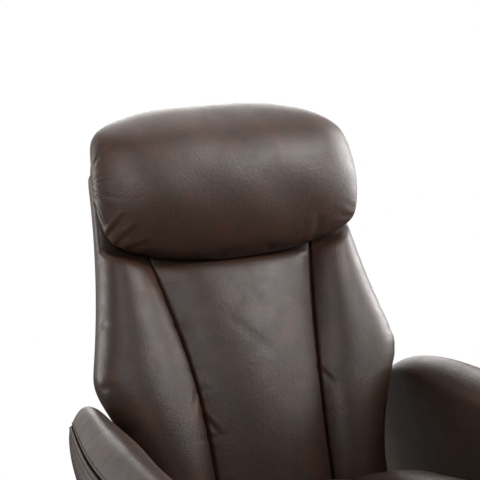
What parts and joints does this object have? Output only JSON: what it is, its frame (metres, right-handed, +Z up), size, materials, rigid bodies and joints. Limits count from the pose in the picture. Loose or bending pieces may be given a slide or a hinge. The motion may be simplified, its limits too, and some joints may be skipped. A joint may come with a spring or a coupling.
{
  "type": "swivel recliner with ottoman",
  "caption": "Leather swivel recliner on a bentwood ring base: padded headrest, channelled back, rounded arms, a seat that glides as the back leans, and a matching tilting ottoman.",
  "frame": {"origin": "on the floor, in the middle of the outline of the chair and the ottoman together", "axes": "+Z up, the chair faces -Y with the ottoman in front of it, the sitter's left is +X"},
  "size_m": [0.8334, 1.601, 1.0807],
  "materials": {
    "leather": "satin",
    "walnut": "satin",
    "steel_black": "satin",
    "zinc": "satin",
    "spring_steel": "satin",
    "plastic": "matte",
    "felt": "matte",
    "dust_cloth": "matte",
    "plywood": "matte"
  },
  "bodies": {
    "base": {"base_ring": "walnut", "base_hub": "walnut", "swivel_post": "zinc", "swivel_bearing": "zinc", "base_leg_1": "walnut", "base_leg_2": "walnut", "base_leg_3": "walnut", "base_leg_4": "walnut", "base_glide_1": "felt", "base_glide_2": "felt", "base_glide_3": "felt", "base_glide_4": "felt"},
    "carrier": {"swivel_housing": "steel_black", "swivel_plate": "steel_black", "carrier_beam_front": "steel_black", "carrier_beam_rear": "steel_black", "side_plate_left": "steel_black", "side_plate_right": "steel_black", "arm_left": "leather", "arm_right": "leather", "guide_roller_left": "zinc", "guide_roller_right": "zinc", "clamp_stud_left": "zinc", "clamp_stud_right": "zinc"},
    "knob_left": {"recline_knob_left": "plastic"},
    "knob_right": {"recline_knob_right": "plastic"},
    "seat": {"seat_rail_left": "steel_black", "seat_rail_right": "steel_black", "seat_tube_front": "steel_black", "seat_tube_rear": "steel_black", "seat_spring_1": "spring_steel", "seat_spring_2": "spring_steel", "seat_spring_3": "spring_steel", "seat_dust_cover": "dust_cloth", "seat_cushion": "leather", "hinge_pin_left": "zinc", "hinge_pin_right": "zinc"},
    "back": {"back_pivot_tube": "steel_black", "back_frame": "steel_black", "back_spring_1": "spring_steel", "back_spring_2": "spring_steel", "back_shell": "leather", "back_cushion": "leather", "headrest_pillow": "leather"},
    "ottoman_base": {"ottoman_ring": "walnut", "ottoman_hub": "walnut", "ottoman_pivot_block": "steel_black", "ottoman_leg_1": "walnut", "ottoman_leg_2": "walnut", "ottoman_leg_3": "walnut", "ottoman_leg_4": "walnut", "ottoman_glide_1": "felt", "ottoman_glide_2": "felt", "ottoman_glide_3": "felt", "ottoman_glide_4": "felt"},
    "ottoman_top": {"ottoman_pan": "plywood", "ottoman_cushion": "leather", "ottoman_ear_left": "steel_black", "ottoman_ear_right": "steel_black", "ottoman_pin": "zinc"}
  },
  "joints": [
    {"name": "swivel", "type": "hinge", "parent": "base", "child": "carrier", "pos_m": [0, 0.27377, 0.17], "axis": [0, 0, 1], "continuous": true},
    {"name": "seat_glide", "type": "slide", "parent": "carrier", "child": "seat", "axis": [0, -0.9903, 0.1392], "range_m": [0, 0.07]},
    {"name": "recline", "type": "hinge", "parent": "seat", "child": "back", "pos_m": [0, 0.53445, 0.30615], "axis": [-1, 0, 0], "range_deg": [0, 30]},
    {"name": "knob_turn_left", "type": "hinge", "parent": "carrier", "child": "knob_left", "pos_m": [0.3193, 0.33319, 0.25365], "axis": [1, 0, 0], "range_deg": [-180, 180]},
    {"name": "knob_turn_right", "type": "hinge", "parent": "carrier", "child": "knob_right", "pos_m": [-0.3193, 0.33319, 0.25365], "axis": [-1, 0, 0], "range_deg": [-180, 180]},
    {"name": "ottoman_move", "type": "slide", "parent": "base", "child": "ottoman_base", "axis": [0, -1, 0], "range_m": [0, 0.3]},
    {"name": "ottoman_tilt", "type": "hinge", "parent": "ottoman_base", "child": "ottoman_top", "pos_m": [0, -0.56623, 0.215], "axis": [1, 0, 0], "range_deg": [-12, 12]}
  ],
  "couplings": [
    {"joint": "seat_glide", "follows": "recline", "m_per_rad": 0.1336}
  ]
}
